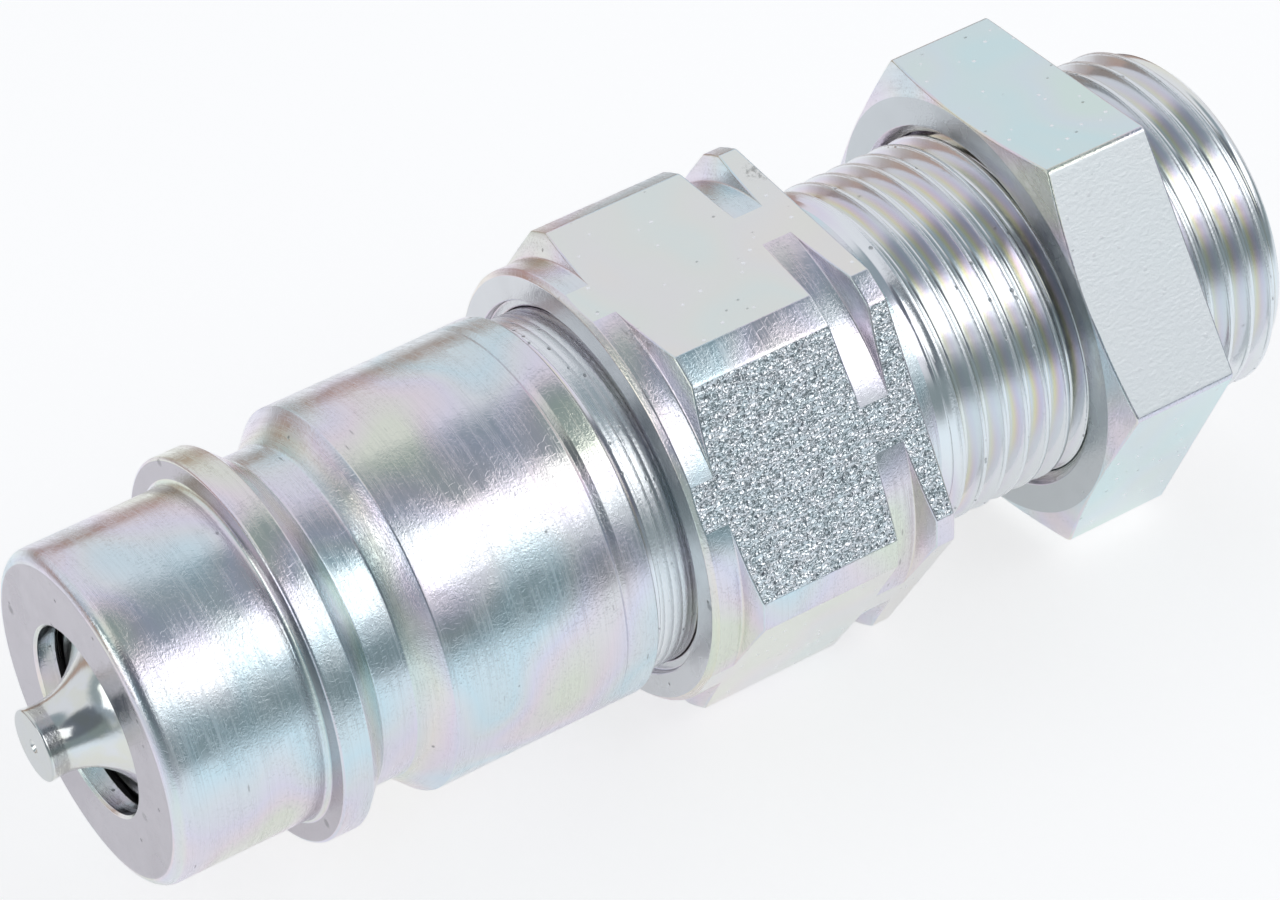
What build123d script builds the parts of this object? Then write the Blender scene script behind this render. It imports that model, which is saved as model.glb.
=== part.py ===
from build123d import *
import os
from math import asin, atan2, cos, degrees, pi, radians, sin, sqrt, tan

# Male half of a hydraulic quick coupling, lying on its side, in millimetres.
# Its axis runs along +X, from the nose that plugs in to the cone that takes the tube.
# A half section is drawn as (station, radius): stations count from the front face of the nose.

# Nose, locking groove and barrel
NOSE_RADIUS = 10.25
NOSE_ROUNDING = 0.85
MOUTH_RADIUS = 5.74
MOUTH_LENGTH = 1.3
COLLAR_RADIUS = 11.84
COLLAR_FRONT = 9.6
COLLAR_REAR = 11.45
GROOVE_RADIUS = 10.22
GROOVE_WIDTH = 2.2
BARREL_RADIUS = 11.87
BARREL_REAR = 30.3

# Inside of the nose body
CHAMBER_RADIUS = 7.9
GUIDE_SEAT = 27.0
REAR_BORE_RADIUS = 8.8
CLIP_GROOVE_RADIUS = 9.4
CLIP_GROOVE_WIDTH = 1.1

# Screwed and sealed joint between the two bodies
JOINT_THREAD_RADIUS = 11.1
JOINT_THREAD_REAR = 38.6
PILOT_RADIUS = 10.3
JOINT_GAP = 0.05
JOINT_SHOULDER = 44.3
JOINT_BORE_REAR = 39.0
SEAL_POCKET_FRONT = 41.2
SEAL_POCKET_RADIUS = 11.8
BACKUP_WIDTH = 1.1
SEAT_GAP = 0.03

# Outside of the rear body
ACROSS_FLATS = 27.0
HEX_CORNER_RADIUS = 15.05
HEX_FRONT = 35.3
HEX_REAR = 44.5
HEX_CHAMFER = 0.5
RING_RADIUS = 13.57
REAR_BODY_FRONT = 32.95
RING_FACE_RADIUS = 13.25
RECESS_RADIUS = 12.3
RECESS_REAR = 34.4
SHOULDER_FRONT = 47.2
SHOULDER_REAR = 48.45
SHANK_RADIUS = 10.75
SHANK_REAR = 51.5
THREAD_RADIUS = 10.95
THREAD_PITCH = 1.5
THREAD_DEPTH = 0.92
BODY_REAR = 76.0
REAR_CHAMFER = 1.15

# Passage through the rear body and cone for a 15 mm tube
PASSAGE_RADIUS = 6.0
TUBE_RADIUS = 7.5
TUBE_GAP = 0.05
TUBE_SOCKET_DEPTH = 7.0
CONE_MOUTH_RADIUS = 8.5
CONE_HALF_ANGLE = 12.0

# Lock nut
NUT_FRONT = 60.54
NUT_THICKNESS = 7.6
NUT_GAP = 0.05
NUT_COUNTERSINK = 1.0
NUT_FACE_RADIUS = 13.4
NUT_CHAMFER_ANGLE = 16.4
NUT_CORNER_ROUNDING = 0.5
NUT_TURN = 6.1

# Valve poppet and its seal
PROBE_REACH = 3.3
PROBE_RADIUS = 2.2
PROBE_DIMPLE = 0.4
WAIST_STATION = -2.3
WAIST_RADIUS = 2.12
FLARE_RADIUS = 4.2
VALVE_FACE = 1.6
SEAT_CLEARANCE = 0.5
HEAD_RADIUS = 6.9
HEAD_REAR = 6.2
BOSS_RADIUS = 4.6
BOSS_REAR = 8.0
STEM_RADIUS = 2.5
STEM_REAR = 33.5
POPPET_GROOVE_FRONT = 2.0
POPPET_GROOVE_REAR = 3.4
POPPET_GROOVE_RADIUS = 4.9
SEAL_SEAT_GAP = 0.1

# Stem guide and circlip
GUIDE_THICKNESS = 2.2
GUIDE_RING_INNER = 7.0
GUIDE_HUB_RADIUS = 4.6
GUIDE_HUB_FRONT = 24.5
GUIDE_HUB_REAR = 30.5
GUIDE_LEGS = 3
GUIDE_LEG_WIDTH = 2.4
STEM_GAP = 0.05
CLIP_THICKNESS = 1.0
CLIP_RADIUS = 9.3
CLIP_WIDTH = 1.6
CLIP_OPENING = 50.0
CLIP_EYE_RADIUS = 1.3
CLIP_EYE_CENTRE = 7.6
CLIP_EYE_HOLE = 0.6

# Valve spring
WIRE = 1.3
SPRING_RADIUS = 5.7
SPRING_TURNS = 6.5
CLOSED_TURNS = 1.0
CLOSED_GAP = 0.15
WIRE_SIDES = 8
SECTIONS_PER_TURN = 12

# Worked out from the sizes above
APOTHEM = ACROSS_FLATS / 2
GROOVE_FRONT = COLLAR_REAR + COLLAR_RADIUS - GROOVE_RADIUS
GROOVE_REAR = GROOVE_FRONT + GROOVE_WIDTH
SEAT_REAR = MOUTH_LENGTH + CHAMBER_RADIUS - MOUTH_RADIUS
GUIDE_REAR = GUIDE_SEAT + GUIDE_THICKNESS
TUBE_STOP = BODY_REAR - TUBE_SOCKET_DEPTH
NUT_REAR = NUT_FRONT + NUT_THICKNESS
TURN_FRONT = NUT_REAR - THREAD_PITCH * 7 / 8
FLANK_LENGTH = THREAD_DEPTH * tan(radians(30))
CORNER_CENTRE = (APOTHEM - NUT_CORNER_ROUNDING) / cos(radians(30))
AXIS_HEIGHT = CORNER_CENTRE * cos(radians(30 - NUT_TURN)) + NUT_CORNER_ROUNDING
NOSE_FACE_X = -(BODY_REAR - PROBE_REACH) / 2


def section(points):
    """The face inside a half section's corners."""
    return make_face(Polyline(*points, close=True))


def turned(face, arc=360):
    """The solid that a half section makes when it is turned about the axis."""
    return revolve(face, Axis.X, arc)


def turned_ring(front, rear, inner, outer, arc=360):
    """A plain square-edged ring."""
    return turned(section([(front, inner), (front, outer), (rear, outer), (rear, inner)]), arc)


def hex_bar(front, rear, corner_rounding=0.0):
    """A length of hexagon bar with one flat facing up."""
    outline = RegularPolygon(APOTHEM, 6, major_radius=False)
    if corner_rounding:
        outline = fillet(outline.vertices(), corner_rounding)
    across = Plane(origin=(front, 0, 0), x_dir=(0, 1, 0), z_dir=(1, 0, 0))
    return extrude(across * outline, rear - front)


def seat_radius(station, gap=0.0):
    """Radius of the valve seat's 45 degree cone, or of a cone that runs a gap inside it."""
    return MOUTH_RADIUS + station - MOUTH_LENGTH - gap * sqrt(2)


def nose_body():
    """Front body: nose, collar, ball groove and barrel, with the valve seat and chamber inside."""
    nose = [
        (0, MOUTH_RADIUS),
        (0, NOSE_RADIUS),
        (COLLAR_FRONT, NOSE_RADIUS),
        (COLLAR_FRONT, COLLAR_RADIUS),
        (COLLAR_REAR, COLLAR_RADIUS),
        (GROOVE_FRONT, GROOVE_RADIUS),
        (GROOVE_REAR, GROOVE_RADIUS),
        (GROOVE_REAR + BARREL_RADIUS - GROOVE_RADIUS, BARREL_RADIUS),
    ]
    barrel = [
        (BARREL_REAR, BARREL_RADIUS),
        (BARREL_REAR, JOINT_THREAD_RADIUS),
        (JOINT_THREAD_REAR, JOINT_THREAD_RADIUS),
        (JOINT_THREAD_REAR, PILOT_RADIUS),
        (JOINT_SHOULDER, PILOT_RADIUS),
    ]
    inside = [
        (JOINT_SHOULDER, REAR_BORE_RADIUS),
        (GUIDE_REAR + CLIP_GROOVE_WIDTH, REAR_BORE_RADIUS),
        (GUIDE_REAR + CLIP_GROOVE_WIDTH, CLIP_GROOVE_RADIUS),
        (GUIDE_REAR, CLIP_GROOVE_RADIUS),
        (GUIDE_REAR, REAR_BORE_RADIUS),
        (GUIDE_SEAT, REAR_BORE_RADIUS),
        (GUIDE_SEAT, CHAMBER_RADIUS),
        (SEAT_REAR, CHAMBER_RADIUS),
        (MOUTH_LENGTH, MOUTH_RADIUS),
    ]
    face = section(nose + barrel + inside)
    nose_edge = face.vertices().sort_by_distance((0, NOSE_RADIUS))[0]
    return turned(fillet(nose_edge, NOSE_ROUNDING))


def rear_body():
    """Rear body: hexagon and bulkhead thread, with the joint bore, passage and tube cone inside.

    The thread is left plain but for one turn of its groove, as a ring, where the nut ends.
    """
    pilot_bore = PILOT_RADIUS + JOINT_GAP
    thread_bore = JOINT_THREAD_RADIUS + JOINT_GAP
    tube_bore = TUBE_RADIUS + TUBE_GAP
    cone_length = (CONE_MOUTH_RADIUS - tube_bore) / tan(radians(CONE_HALF_ANGLE))
    hexagon = [
        (REAR_BODY_FRONT, RECESS_RADIUS),
        (REAR_BODY_FRONT, RING_FACE_RADIUS),
        (REAR_BODY_FRONT + RING_RADIUS - RING_FACE_RADIUS, RING_RADIUS),
        (HEX_FRONT - HEX_CHAMFER, RING_RADIUS),
        (HEX_FRONT, HEX_CORNER_RADIUS),
        (HEX_REAR, HEX_CORNER_RADIUS),
        (HEX_REAR + HEX_CHAMFER / 2, RING_RADIUS),
        (SHOULDER_FRONT - HEX_CHAMFER, RING_RADIUS),
        (SHOULDER_FRONT, HEX_CORNER_RADIUS),
        (SHOULDER_REAR, HEX_CORNER_RADIUS),
    ]
    shank = [
        (SHOULDER_REAR, SHANK_RADIUS),
        (SHANK_REAR, SHANK_RADIUS),
        (SHANK_REAR, THREAD_RADIUS),
        (TURN_FRONT, THREAD_RADIUS),
        (TURN_FRONT + FLANK_LENGTH, THREAD_RADIUS - THREAD_DEPTH),
        (NUT_REAR - FLANK_LENGTH, THREAD_RADIUS - THREAD_DEPTH),
        (NUT_REAR, THREAD_RADIUS),
        (BODY_REAR - REAR_CHAMFER, THREAD_RADIUS),
        (BODY_REAR, THREAD_RADIUS - REAR_CHAMFER),
    ]
    tube_end = [
        (BODY_REAR, CONE_MOUTH_RADIUS),
        (BODY_REAR - cone_length, tube_bore),
        (TUBE_STOP, tube_bore),
        (TUBE_STOP, PASSAGE_RADIUS),
        (JOINT_SHOULDER, PASSAGE_RADIUS),
    ]
    joint_bore = [
        (JOINT_SHOULDER, SEAL_POCKET_RADIUS),
        (SEAL_POCKET_FRONT, SEAL_POCKET_RADIUS),
        (SEAL_POCKET_FRONT, pilot_bore),
        (JOINT_BORE_REAR, pilot_bore),
        (JOINT_BORE_REAR, thread_bore),
        (RECESS_REAR, thread_bore),
        (RECESS_REAR, RECESS_RADIUS),
    ]
    blank = turned(section(hexagon + shank + tube_end + joint_bore))
    return blank & hex_bar(REAR_BODY_FRONT, BODY_REAR)


def lock_nut():
    """Bulkhead nut, chamfered at its front face and countersunk both ways."""
    bore = THREAD_RADIUS + NUT_GAP
    blank_radius = ACROSS_FLATS * 0.6
    chamfer_length = (blank_radius - NUT_FACE_RADIUS) * tan(radians(NUT_CHAMFER_ANGLE))
    blank = turned(section([
        (NUT_FRONT, bore + NUT_COUNTERSINK),
        (NUT_FRONT, NUT_FACE_RADIUS),
        (NUT_FRONT + chamfer_length, blank_radius),
        (NUT_REAR, blank_radius),
        (NUT_REAR, bore + NUT_COUNTERSINK),
        (NUT_REAR - NUT_COUNTERSINK, bore),
        (NUT_FRONT + NUT_COUNTERSINK, bore),
    ]))
    return blank & Rot(-NUT_TURN, 0, 0) * hex_bar(NUT_FRONT, NUT_REAR, NUT_CORNER_ROUNDING)


def valve_poppet():
    """Valve: trumpet-shaped probe, head with its seal groove, spring boss and stem in one piece."""
    flare_angle = degrees(asin((VALVE_FACE - WAIST_STATION) / FLARE_RADIUS))
    flare_centre = (WAIST_STATION, WAIST_RADIUS + FLARE_RADIUS)
    flare = CenterArc(flare_centre, FLARE_RADIUS, -90, flare_angle)
    tip = Polyline(
        (PROBE_DIMPLE - PROBE_REACH, 0),
        (-PROBE_REACH, PROBE_DIMPLE),
        (-PROBE_REACH, PROBE_RADIUS),
        flare @ 0,
    )
    body = Polyline(
        flare @ 1,
        (VALVE_FACE, seat_radius(VALVE_FACE, SEAT_CLEARANCE)),
        (POPPET_GROOVE_FRONT, seat_radius(POPPET_GROOVE_FRONT, SEAT_CLEARANCE)),
        (POPPET_GROOVE_FRONT, POPPET_GROOVE_RADIUS),
        (POPPET_GROOVE_REAR, POPPET_GROOVE_RADIUS),
        (POPPET_GROOVE_REAR, HEAD_RADIUS),
        (HEAD_REAR, HEAD_RADIUS),
        (HEAD_REAR, BOSS_RADIUS),
        (BOSS_REAR, BOSS_RADIUS),
        (BOSS_REAR, STEM_RADIUS),
        (STEM_REAR, STEM_RADIUS),
        (STEM_REAR, 0),
        (PROBE_DIMPLE - PROBE_REACH, 0),
    )
    return turned(make_face(tip + flare + body))


def poppet_seal():
    """Moulded ring in the valve head, with a sloping face that meets the seat."""
    front = POPPET_GROOVE_FRONT + SEAT_GAP
    rear = POPPET_GROOVE_REAR - SEAT_GAP
    bottom = POPPET_GROOVE_RADIUS + SEAT_GAP
    return turned(section([
        (front, bottom),
        (front, seat_radius(front, SEAL_SEAT_GAP)),
        (rear, seat_radius(rear, SEAL_SEAT_GAP)),
        (rear, bottom),
    ]))


def valve_guide():
    """Spider that guides the stem: a seating ring and a long hub joined by three legs."""
    ring = turned_ring(GUIDE_SEAT, GUIDE_REAR, GUIDE_RING_INNER, REAR_BORE_RADIUS - SEAT_GAP)
    hub = turned_ring(GUIDE_HUB_FRONT, GUIDE_HUB_REAR, STEM_RADIUS + STEM_GAP, GUIDE_HUB_RADIUS)
    leg_inner = (STEM_RADIUS + GUIDE_HUB_RADIUS) / 2
    leg_outer = (GUIDE_RING_INNER + REAR_BORE_RADIUS) / 2
    middle = ((GUIDE_SEAT + GUIDE_REAR) / 2, 0, (leg_inner + leg_outer) / 2)
    leg = Pos(*middle) * Box(GUIDE_THICKNESS, GUIDE_LEG_WIDTH, leg_outer - leg_inner)
    spider = ring + hub
    for number in range(GUIDE_LEGS):
        spider += Rot(number * 360 / GUIDE_LEGS, 0, 0) * leg
    return spider


def guide_circlip():
    """Internal circlip behind the guide, with an eye at each end, opening upwards."""
    middle = GUIDE_REAR + CLIP_GROOVE_WIDTH / 2
    front = middle - CLIP_THICKNESS / 2
    rear = middle + CLIP_THICKNESS / 2
    arc = 360 - CLIP_OPENING
    eye_place = Pos(middle, CLIP_EYE_CENTRE, 0) * Rot(0, 90, 0)
    clip = turned_ring(front, rear, CLIP_RADIUS - CLIP_WIDTH, CLIP_RADIUS, arc)
    for end in (0, arc):
        clip += Rot(end, 0, 0) * eye_place * Cylinder(CLIP_EYE_RADIUS, CLIP_THICKNESS)
        clip -= Rot(end, 0, 0) * eye_place * Cylinder(CLIP_EYE_HOLE, CLIP_THICKNESS)
    return Rot(90 + CLIP_OPENING / 2, 0, 0) * clip


def wire_section(angle, station, slope):
    """One section of the spring wire, square to the wire."""
    outward = Vector(0, cos(angle), sin(angle))
    along = Vector(sin(slope), -cos(slope) * sin(angle), cos(slope) * cos(angle))
    centre = Vector(station, 0, 0) + outward * SPRING_RADIUS
    across = Plane(origin=centre, x_dir=outward, z_dir=along)
    return (across * RegularPolygon(WIRE / 2, WIRE_SIDES)).face()


def valve_spring():
    """Coil spring from the valve head to the guide, with a closed turn at each end."""
    closed_pitch = WIRE + CLOSED_GAP
    first_station = HEAD_REAR + SEAT_GAP + WIRE / 2
    last_station = GUIDE_SEAT - SEAT_GAP - WIRE / 2
    closed_length = 2 * CLOSED_TURNS * closed_pitch
    open_pitch = (last_station - first_station - closed_length) / (SPRING_TURNS - 2 * CLOSED_TURNS)
    station = first_station
    sections = []
    for step in range(round(SPRING_TURNS * SECTIONS_PER_TURN) + 1):
        turns = step / SECTIONS_PER_TURN
        is_open = CLOSED_TURNS <= turns < SPRING_TURNS - CLOSED_TURNS
        pitch = open_pitch if is_open else closed_pitch
        slope = atan2(pitch, 2 * pi * SPRING_RADIUS)
        sections.append(wire_section(2 * pi * turns, station, slope))
        station += pitch / SECTIONS_PER_TURN
    return loft(sections, ruled=True)


def body_seal():
    """Sealing ring round the pilot, pressed nearly square between the backup ring and the shoulder."""
    front = SEAL_POCKET_FRONT + BACKUP_WIDTH + SEAT_GAP
    rear = JOINT_SHOULDER - SEAT_GAP
    return turned_ring(front, rear, PILOT_RADIUS + SEAT_GAP, SEAL_POCKET_RADIUS - SEAT_GAP)


def backup_ring():
    """Hard plastic ring that keeps the sealing ring out of the gap on its low-pressure side."""
    front = SEAL_POCKET_FRONT + SEAT_GAP
    rear = SEAL_POCKET_FRONT + BACKUP_WIDTH
    return turned_ring(front, rear, PILOT_RADIUS + SEAT_GAP, SEAL_POCKET_RADIUS - SEAT_GAP)


PIECES = [
    nose_body,
    rear_body,
    lock_nut,
    valve_poppet,
    poppet_seal,
    valve_spring,
    valve_guide,
    guide_circlip,
    body_seal,
    backup_ring,
]

os.makedirs("parts", exist_ok=True)
for piece in PIECES:
    placed = Pos(NOSE_FACE_X, 0, AXIS_HEIGHT) * piece()
    export_step(placed, f"parts/{piece.__name__}.step")
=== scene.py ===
from math import acos, asin, atan2, cos, degrees, hypot, pi, radians, sin, sqrt, tan

import bmesh
import bpy
from mathutils import Euler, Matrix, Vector


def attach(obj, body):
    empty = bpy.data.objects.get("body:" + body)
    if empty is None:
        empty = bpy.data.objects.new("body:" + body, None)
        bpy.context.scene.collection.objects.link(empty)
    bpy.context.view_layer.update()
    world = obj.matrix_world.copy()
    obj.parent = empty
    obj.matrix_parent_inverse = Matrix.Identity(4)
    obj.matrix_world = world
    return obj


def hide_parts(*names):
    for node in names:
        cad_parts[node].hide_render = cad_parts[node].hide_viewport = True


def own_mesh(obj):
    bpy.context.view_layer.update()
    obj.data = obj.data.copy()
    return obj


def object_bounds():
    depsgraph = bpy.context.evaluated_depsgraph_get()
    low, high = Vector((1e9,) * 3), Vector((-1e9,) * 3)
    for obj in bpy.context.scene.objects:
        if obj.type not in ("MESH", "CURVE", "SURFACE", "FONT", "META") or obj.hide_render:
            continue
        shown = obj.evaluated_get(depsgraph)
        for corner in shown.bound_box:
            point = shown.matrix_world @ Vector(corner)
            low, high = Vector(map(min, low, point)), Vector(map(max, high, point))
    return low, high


# Male half of a hydraulic quick coupling, lying on its side.
# Half sections are drawn in millimetres as (station, radius), with stations counted from the nose face.
# Angles round the axis are in degrees, from the side towards +Y up over the top.

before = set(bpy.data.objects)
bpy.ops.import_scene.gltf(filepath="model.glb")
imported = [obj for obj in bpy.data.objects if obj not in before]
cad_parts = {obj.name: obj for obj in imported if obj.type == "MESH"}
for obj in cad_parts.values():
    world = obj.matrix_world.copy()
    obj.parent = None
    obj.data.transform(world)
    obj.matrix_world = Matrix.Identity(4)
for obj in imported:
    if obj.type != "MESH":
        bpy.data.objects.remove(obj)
cad_box = [list(corner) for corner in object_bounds()]

MM = 0.001
PROBE_REACH = 3.3
NOSE_FACE_X = cad_box[0][0] / MM + PROBE_REACH
AXIS_HEIGHT = (cad_box[0][2] + cad_box[1][2]) / 2 / MM

# Outside of the nose body
NOSE_RADIUS = 10.25
COLLAR_FRONT = 9.6
COLLAR_REAR = 11.45
COLLAR_RADIUS = 11.84
GROOVE_FRONT = 13.07
GROOVE_REAR = 15.27
GROOVE_RADIUS = 10.22
BARREL_FRONT = 16.92
BARREL_REAR = 30.3
BARREL_RADIUS = 11.87
MARK_FRONT = 28.1
MARK_REAR = 28.75
MARK_DEPTH = 0.13

# Inside of the nose body
MOUTH_RADIUS = 5.74
MOUTH_LENGTH = 1.3
MOUTH_EDGE = 0.16
SEAT_REAR = 3.46
CHAMBER_RADIUS = 7.9
GUIDE_SEAT = 27.0
GUIDE_REAR = 29.2
CLIP_GROOVE_WIDTH = 1.1
CLIP_GROOVE_RADIUS = 9.4
REAR_BORE_RADIUS = 8.8

# Joint of the two bodies
JOINT_THREAD_FRONT = 30.9
JOINT_THREAD_REAR = 36.0
JOINT_THREAD_RADIUS = 11.1
JOINT_PITCH = 0.6
JOINT_RELIEF = 0.25
JOINT_BORE = 11.15
JOINT_BORE_REAR = 39.0
RECESS_RADIUS = 11.7
RECESS_REAR = 33.45
PILOT_FRONT = 38.6
PILOT_RADIUS = 10.3
PILOT_BORE = 10.35
SEAL_POCKET_FRONT = 41.2
SEAL_POCKET_RADIUS = 11.8
JOINT_SHOULDER = 44.3

# Rear body
APOTHEM = 13.5
BODY_FLAT = 90.0
ROLLED_FLATS = (30.0, 150.0, 270.0)
RING_FRONT = 32.95
RING_FACE_RADIUS = 13.25
RING_RADIUS = 13.57
HEX_CORNER_RADIUS = 15.05
HEX_FRONT = 35.3
HEX_REAR = 44.5
SHOULDER_FRONT = 47.2
SHOULDER_REAR = 48.45
FRONT_BEVEL = 0.5
REAR_BEVEL = 0.25
SHANK_RADIUS = 10.75
BODY_REAR = 76.0
REAR_CHAMFER = 1.15
REAR_FACE_RADIUS = 9.8
CONE_MOUTH_RADIUS = 8.5
CONE_END = 71.53
TUBE_BORE = 7.55
TUBE_STOP = 69.0
PASSAGE_RADIUS = 6.0

# Bulkhead thread, with the crest that the photo shows clearest
THREAD_FRONT = 50.6
THREAD_REAR = BODY_REAR - 0.18
THREAD_RADIUS = 10.95
THREAD_PITCH = 1.5
CREST_STATION = 51.9
CREST_ANGLE = 133.4

# Lock nut
NUT_FLAT = 83.9
NUT_BRIGHT_FLATS = (23.9, 143.9, 263.9)
NUT_FRONT = 60.54
NUT_REAR = 68.14
NUT_BORE = 11.0
NUT_FRONT_COUNTERSINK = 0.6
NUT_REAR_COUNTERSINK = 1.0
NUT_FACE_RADIUS = 13.4
NUT_CHAMFER_SLOPE = tan(radians(16.4))
NUT_CORNER_ROUNDING = 0.5
NUT_CORNER_CENTRE = (APOTHEM - NUT_CORNER_ROUNDING) / cos(radians(30))

# Valve poppet
PROBE_RADIUS = 2.2
DIMPLE_RADIUS = 0.45
DIMPLE_DEPTH = 0.4
WAIST_STATION = -2.3
WAIST_RADIUS = 2.12
FLARE_RADIUS = 4.2
FLARE_END = 1.6
LIP_REAR = 2.0
LIP_RADIUS = 5.73
SEAL_GROOVE_RADIUS = 4.9
HEAD_FRONT = 3.4
HEAD_REAR = 6.2
HEAD_RADIUS = 6.9
BOSS_REAR = 8.0
BOSS_RADIUS = 4.6
STEM_REAR = 33.5
STEM_RADIUS = 2.5

# Valve spring
WIRE = 1.3
SPRING_RADIUS = 5.7
SPRING_FRONT = 6.23
SPRING_REAR = 26.97
SPRING_TURNS = 6.5
CLOSED_PITCH = 1.45

# Fineness of the meshes
HOLD = 0.07
SOFT = 0.12
STEP = 3.0
NOSE_STEP = 2.0
FLARE_STEPS = 20
WIRE_SIDES = 14
STEPS_PER_TURN = 40
EDGE_GAP = 0.02


# Meshes


def toward(start, end):
    """Distance and direction from one section point to another."""
    across, up = end[0] - start[0], end[1] - start[1]
    length = hypot(across, up)
    return (length, across / length, up / length) if length > 1e-9 else (0.0, 0.0, 0.0)


def rounded(before, corner, after, radius, steps):
    """An arc in place of a section's corner, with a point held close on each side of it."""
    arriving, ax, ar = toward(before, corner)
    leaving, lx, lr = toward(corner, after)
    half_turn = acos(max(-1.0, min(1.0, ax * lx + ar * lr))) / 2
    room = 0.4 * min(arriving, leaving)
    reach = min(radius * tan(min(half_turn, 1.4)), room)
    weight = cos(half_turn)
    start = (corner[0] - ax * reach, corner[1] - ar * reach)
    end = (corner[0] + lx * reach, corner[1] + lr * reach)
    near, far = min(HOLD, 0.08 * arriving), min(HOLD, 0.08 * leaving)
    points = [(start[0] - ax * near, start[1] - ar * near)]
    for step in range(steps + 1):
        u = step / steps
        a, b, c = (1 - u) ** 2, 2 * u * (1 - u) * weight, u * u
        points.append(tuple((a * start[k] + b * corner[k] + c * end[k]) / (a + b + c) for k in (0, 1)))
    points.append((end[0] + lx * far, end[1] + lr * far))
    return points


def section_line(corners, closed=True):
    """Points along a half section of (station, radius, rounding, steps); the last two may be left out."""
    line = []
    last = len(corners) - 1
    for number, corner in enumerate(corners):
        radius = corner[2] if len(corner) > 2 else 0
        steps = corner[3] if len(corner) > 3 else 4
        at_end = not closed and number in (0, last)
        if radius == 0 or at_end:
            line.append(corner[:2])
        else:
            before, after = corners[number - 1][:2], corners[(number + 1) % len(corners)][:2]
            line += rounded(before, corner[:2], after, radius, steps)
    return line


def placed(station, radius, angle):
    """A section point turned to its angle, in the shared frame, in metres."""
    turn = radians(angle)
    return Vector((
        (NOSE_FACE_X + station) * MM,
        radius * cos(turn) * MM,
        (AXIS_HEIGHT + radius * sin(turn)) * MM,
    ))


def finish_mesh(name, verts, faces, materials, choose=None):
    """Joins points that meet, turns the faces outwards, shades them smooth and gives each its material."""
    mesh = bpy.data.meshes.new(name)
    mesh.from_pydata(verts, [], faces)
    shape = bmesh.new()
    shape.from_mesh(mesh)
    bmesh.ops.remove_doubles(shape, verts=shape.verts, dist=2e-7)
    bmesh.ops.recalc_face_normals(shape, faces=shape.faces)
    for face in shape.faces:
        face.smooth = True
        if choose:
            face.material_index = choose(face)
    shape.to_mesh(mesh)
    shape.free()
    for material in materials:
        mesh.materials.append(material)
    piece = bpy.data.objects.new(name, mesh)
    bpy.context.scene.collection.objects.link(piece)
    return piece


def turned_piece(name, angles, line_at, materials, closed=True, choose=None):
    """The surface that a half section makes round the axis; line_at gives its points at an angle."""
    verts, faces = [], []
    for column, angle in enumerate(angles):
        line = line_at(angle)
        size = len(line)
        verts += [placed(station, radius, angle) for station, radius in line]
        if column:
            here, last = column * size, (column - 1) * size
            for row in range(size if closed else size - 1):
                after = (row + 1) % size
                faces.append((last + row, here + row, here + after, last + after))
    return finish_mesh(name, verts, faces, materials, choose)


def even_angles(step, start=0.0):
    """Angles all the way round, with the first one again at the end."""
    return [start + number * step for number in range(round(360 / step) + 1)]


def flat_angles(first_flat, edges):
    """Evenly spaced angles with more of them beside each edge of the six flats."""
    start = first_flat - 30
    angles = even_angles(STEP, start)
    for number in range(6):
        middle = first_flat + 60 * number
        for edge, offsets in edges:
            for side in (-1, 1):
                angles += [middle + side * (edge + offset) for offset in offsets]
    kept = [start]
    for angle in sorted(start + (angle - start) % 360 for angle in angles[1:-1]):
        if angle - kept[-1] > EDGE_GAP and start + 360 - angle > EDGE_GAP:
            kept.append(angle)
    return [*kept, start + 360]


def softer(a, b, reach):
    """The smaller of two radii, with the edge between them eased over a reach."""
    blend = max(reach - abs(a - b), 0) / reach
    return min(a, b) - blend * blend * reach / 4


def eased(value):
    """0 below 0, 1 above 1, and a smooth rise in between."""
    value = max(0.0, min(1.0, value))
    return value * value * (3 - 2 * value)


def off_flat(angle, first_flat):
    """Angle from the middle of the nearest flat."""
    return (angle - first_flat + 30) % 60 - 30


# Threads


def thread_form(crest, flank, root_depth, pitch):
    """Offsets from a crest's middle and depths over one pitch, alike on both sides of crest and root."""
    arriving = [(-offset, depth) for offset, depth in reversed(crest)]
    climbing = [(pitch - offset, depth) for offset, depth in reversed(flank)]
    return [*arriving, *crest, *flank, (pitch / 2, root_depth), *climbing]


BULKHEAD_FORM = thread_form(
    crest=[(0.064, 0.0), (0.094, 0.006), (0.109, 0.026)],
    flank=[(0.124, 0.052), (0.58, 0.842), (0.603, 0.882), (0.665, 0.944)],
    root_depth=0.967,
    pitch=THREAD_PITCH,
)
JOINT_FORM = thread_form(
    crest=[(0.09, 0.0), (0.16, 0.006)],
    flank=[(0.26, 0.021)],
    root_depth=0.024,
    pitch=JOINT_PITCH,
)


def helix_points(angle, front, rear, pitch, crest_at, form):
    """Stations and depths of a right-hand thread along one line of the surface, from front to rear."""
    turns = int((rear - front) / pitch) + 2
    shift = (crest_at - front) % pitch - pitch
    points = []
    for turn in range(turns + 1):
        for offset, depth in form:
            station = front + shift + (turn - 1 + angle / 360) * pitch + offset
            points.append((max(front, min(rear, station)), depth))
    return points


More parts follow.
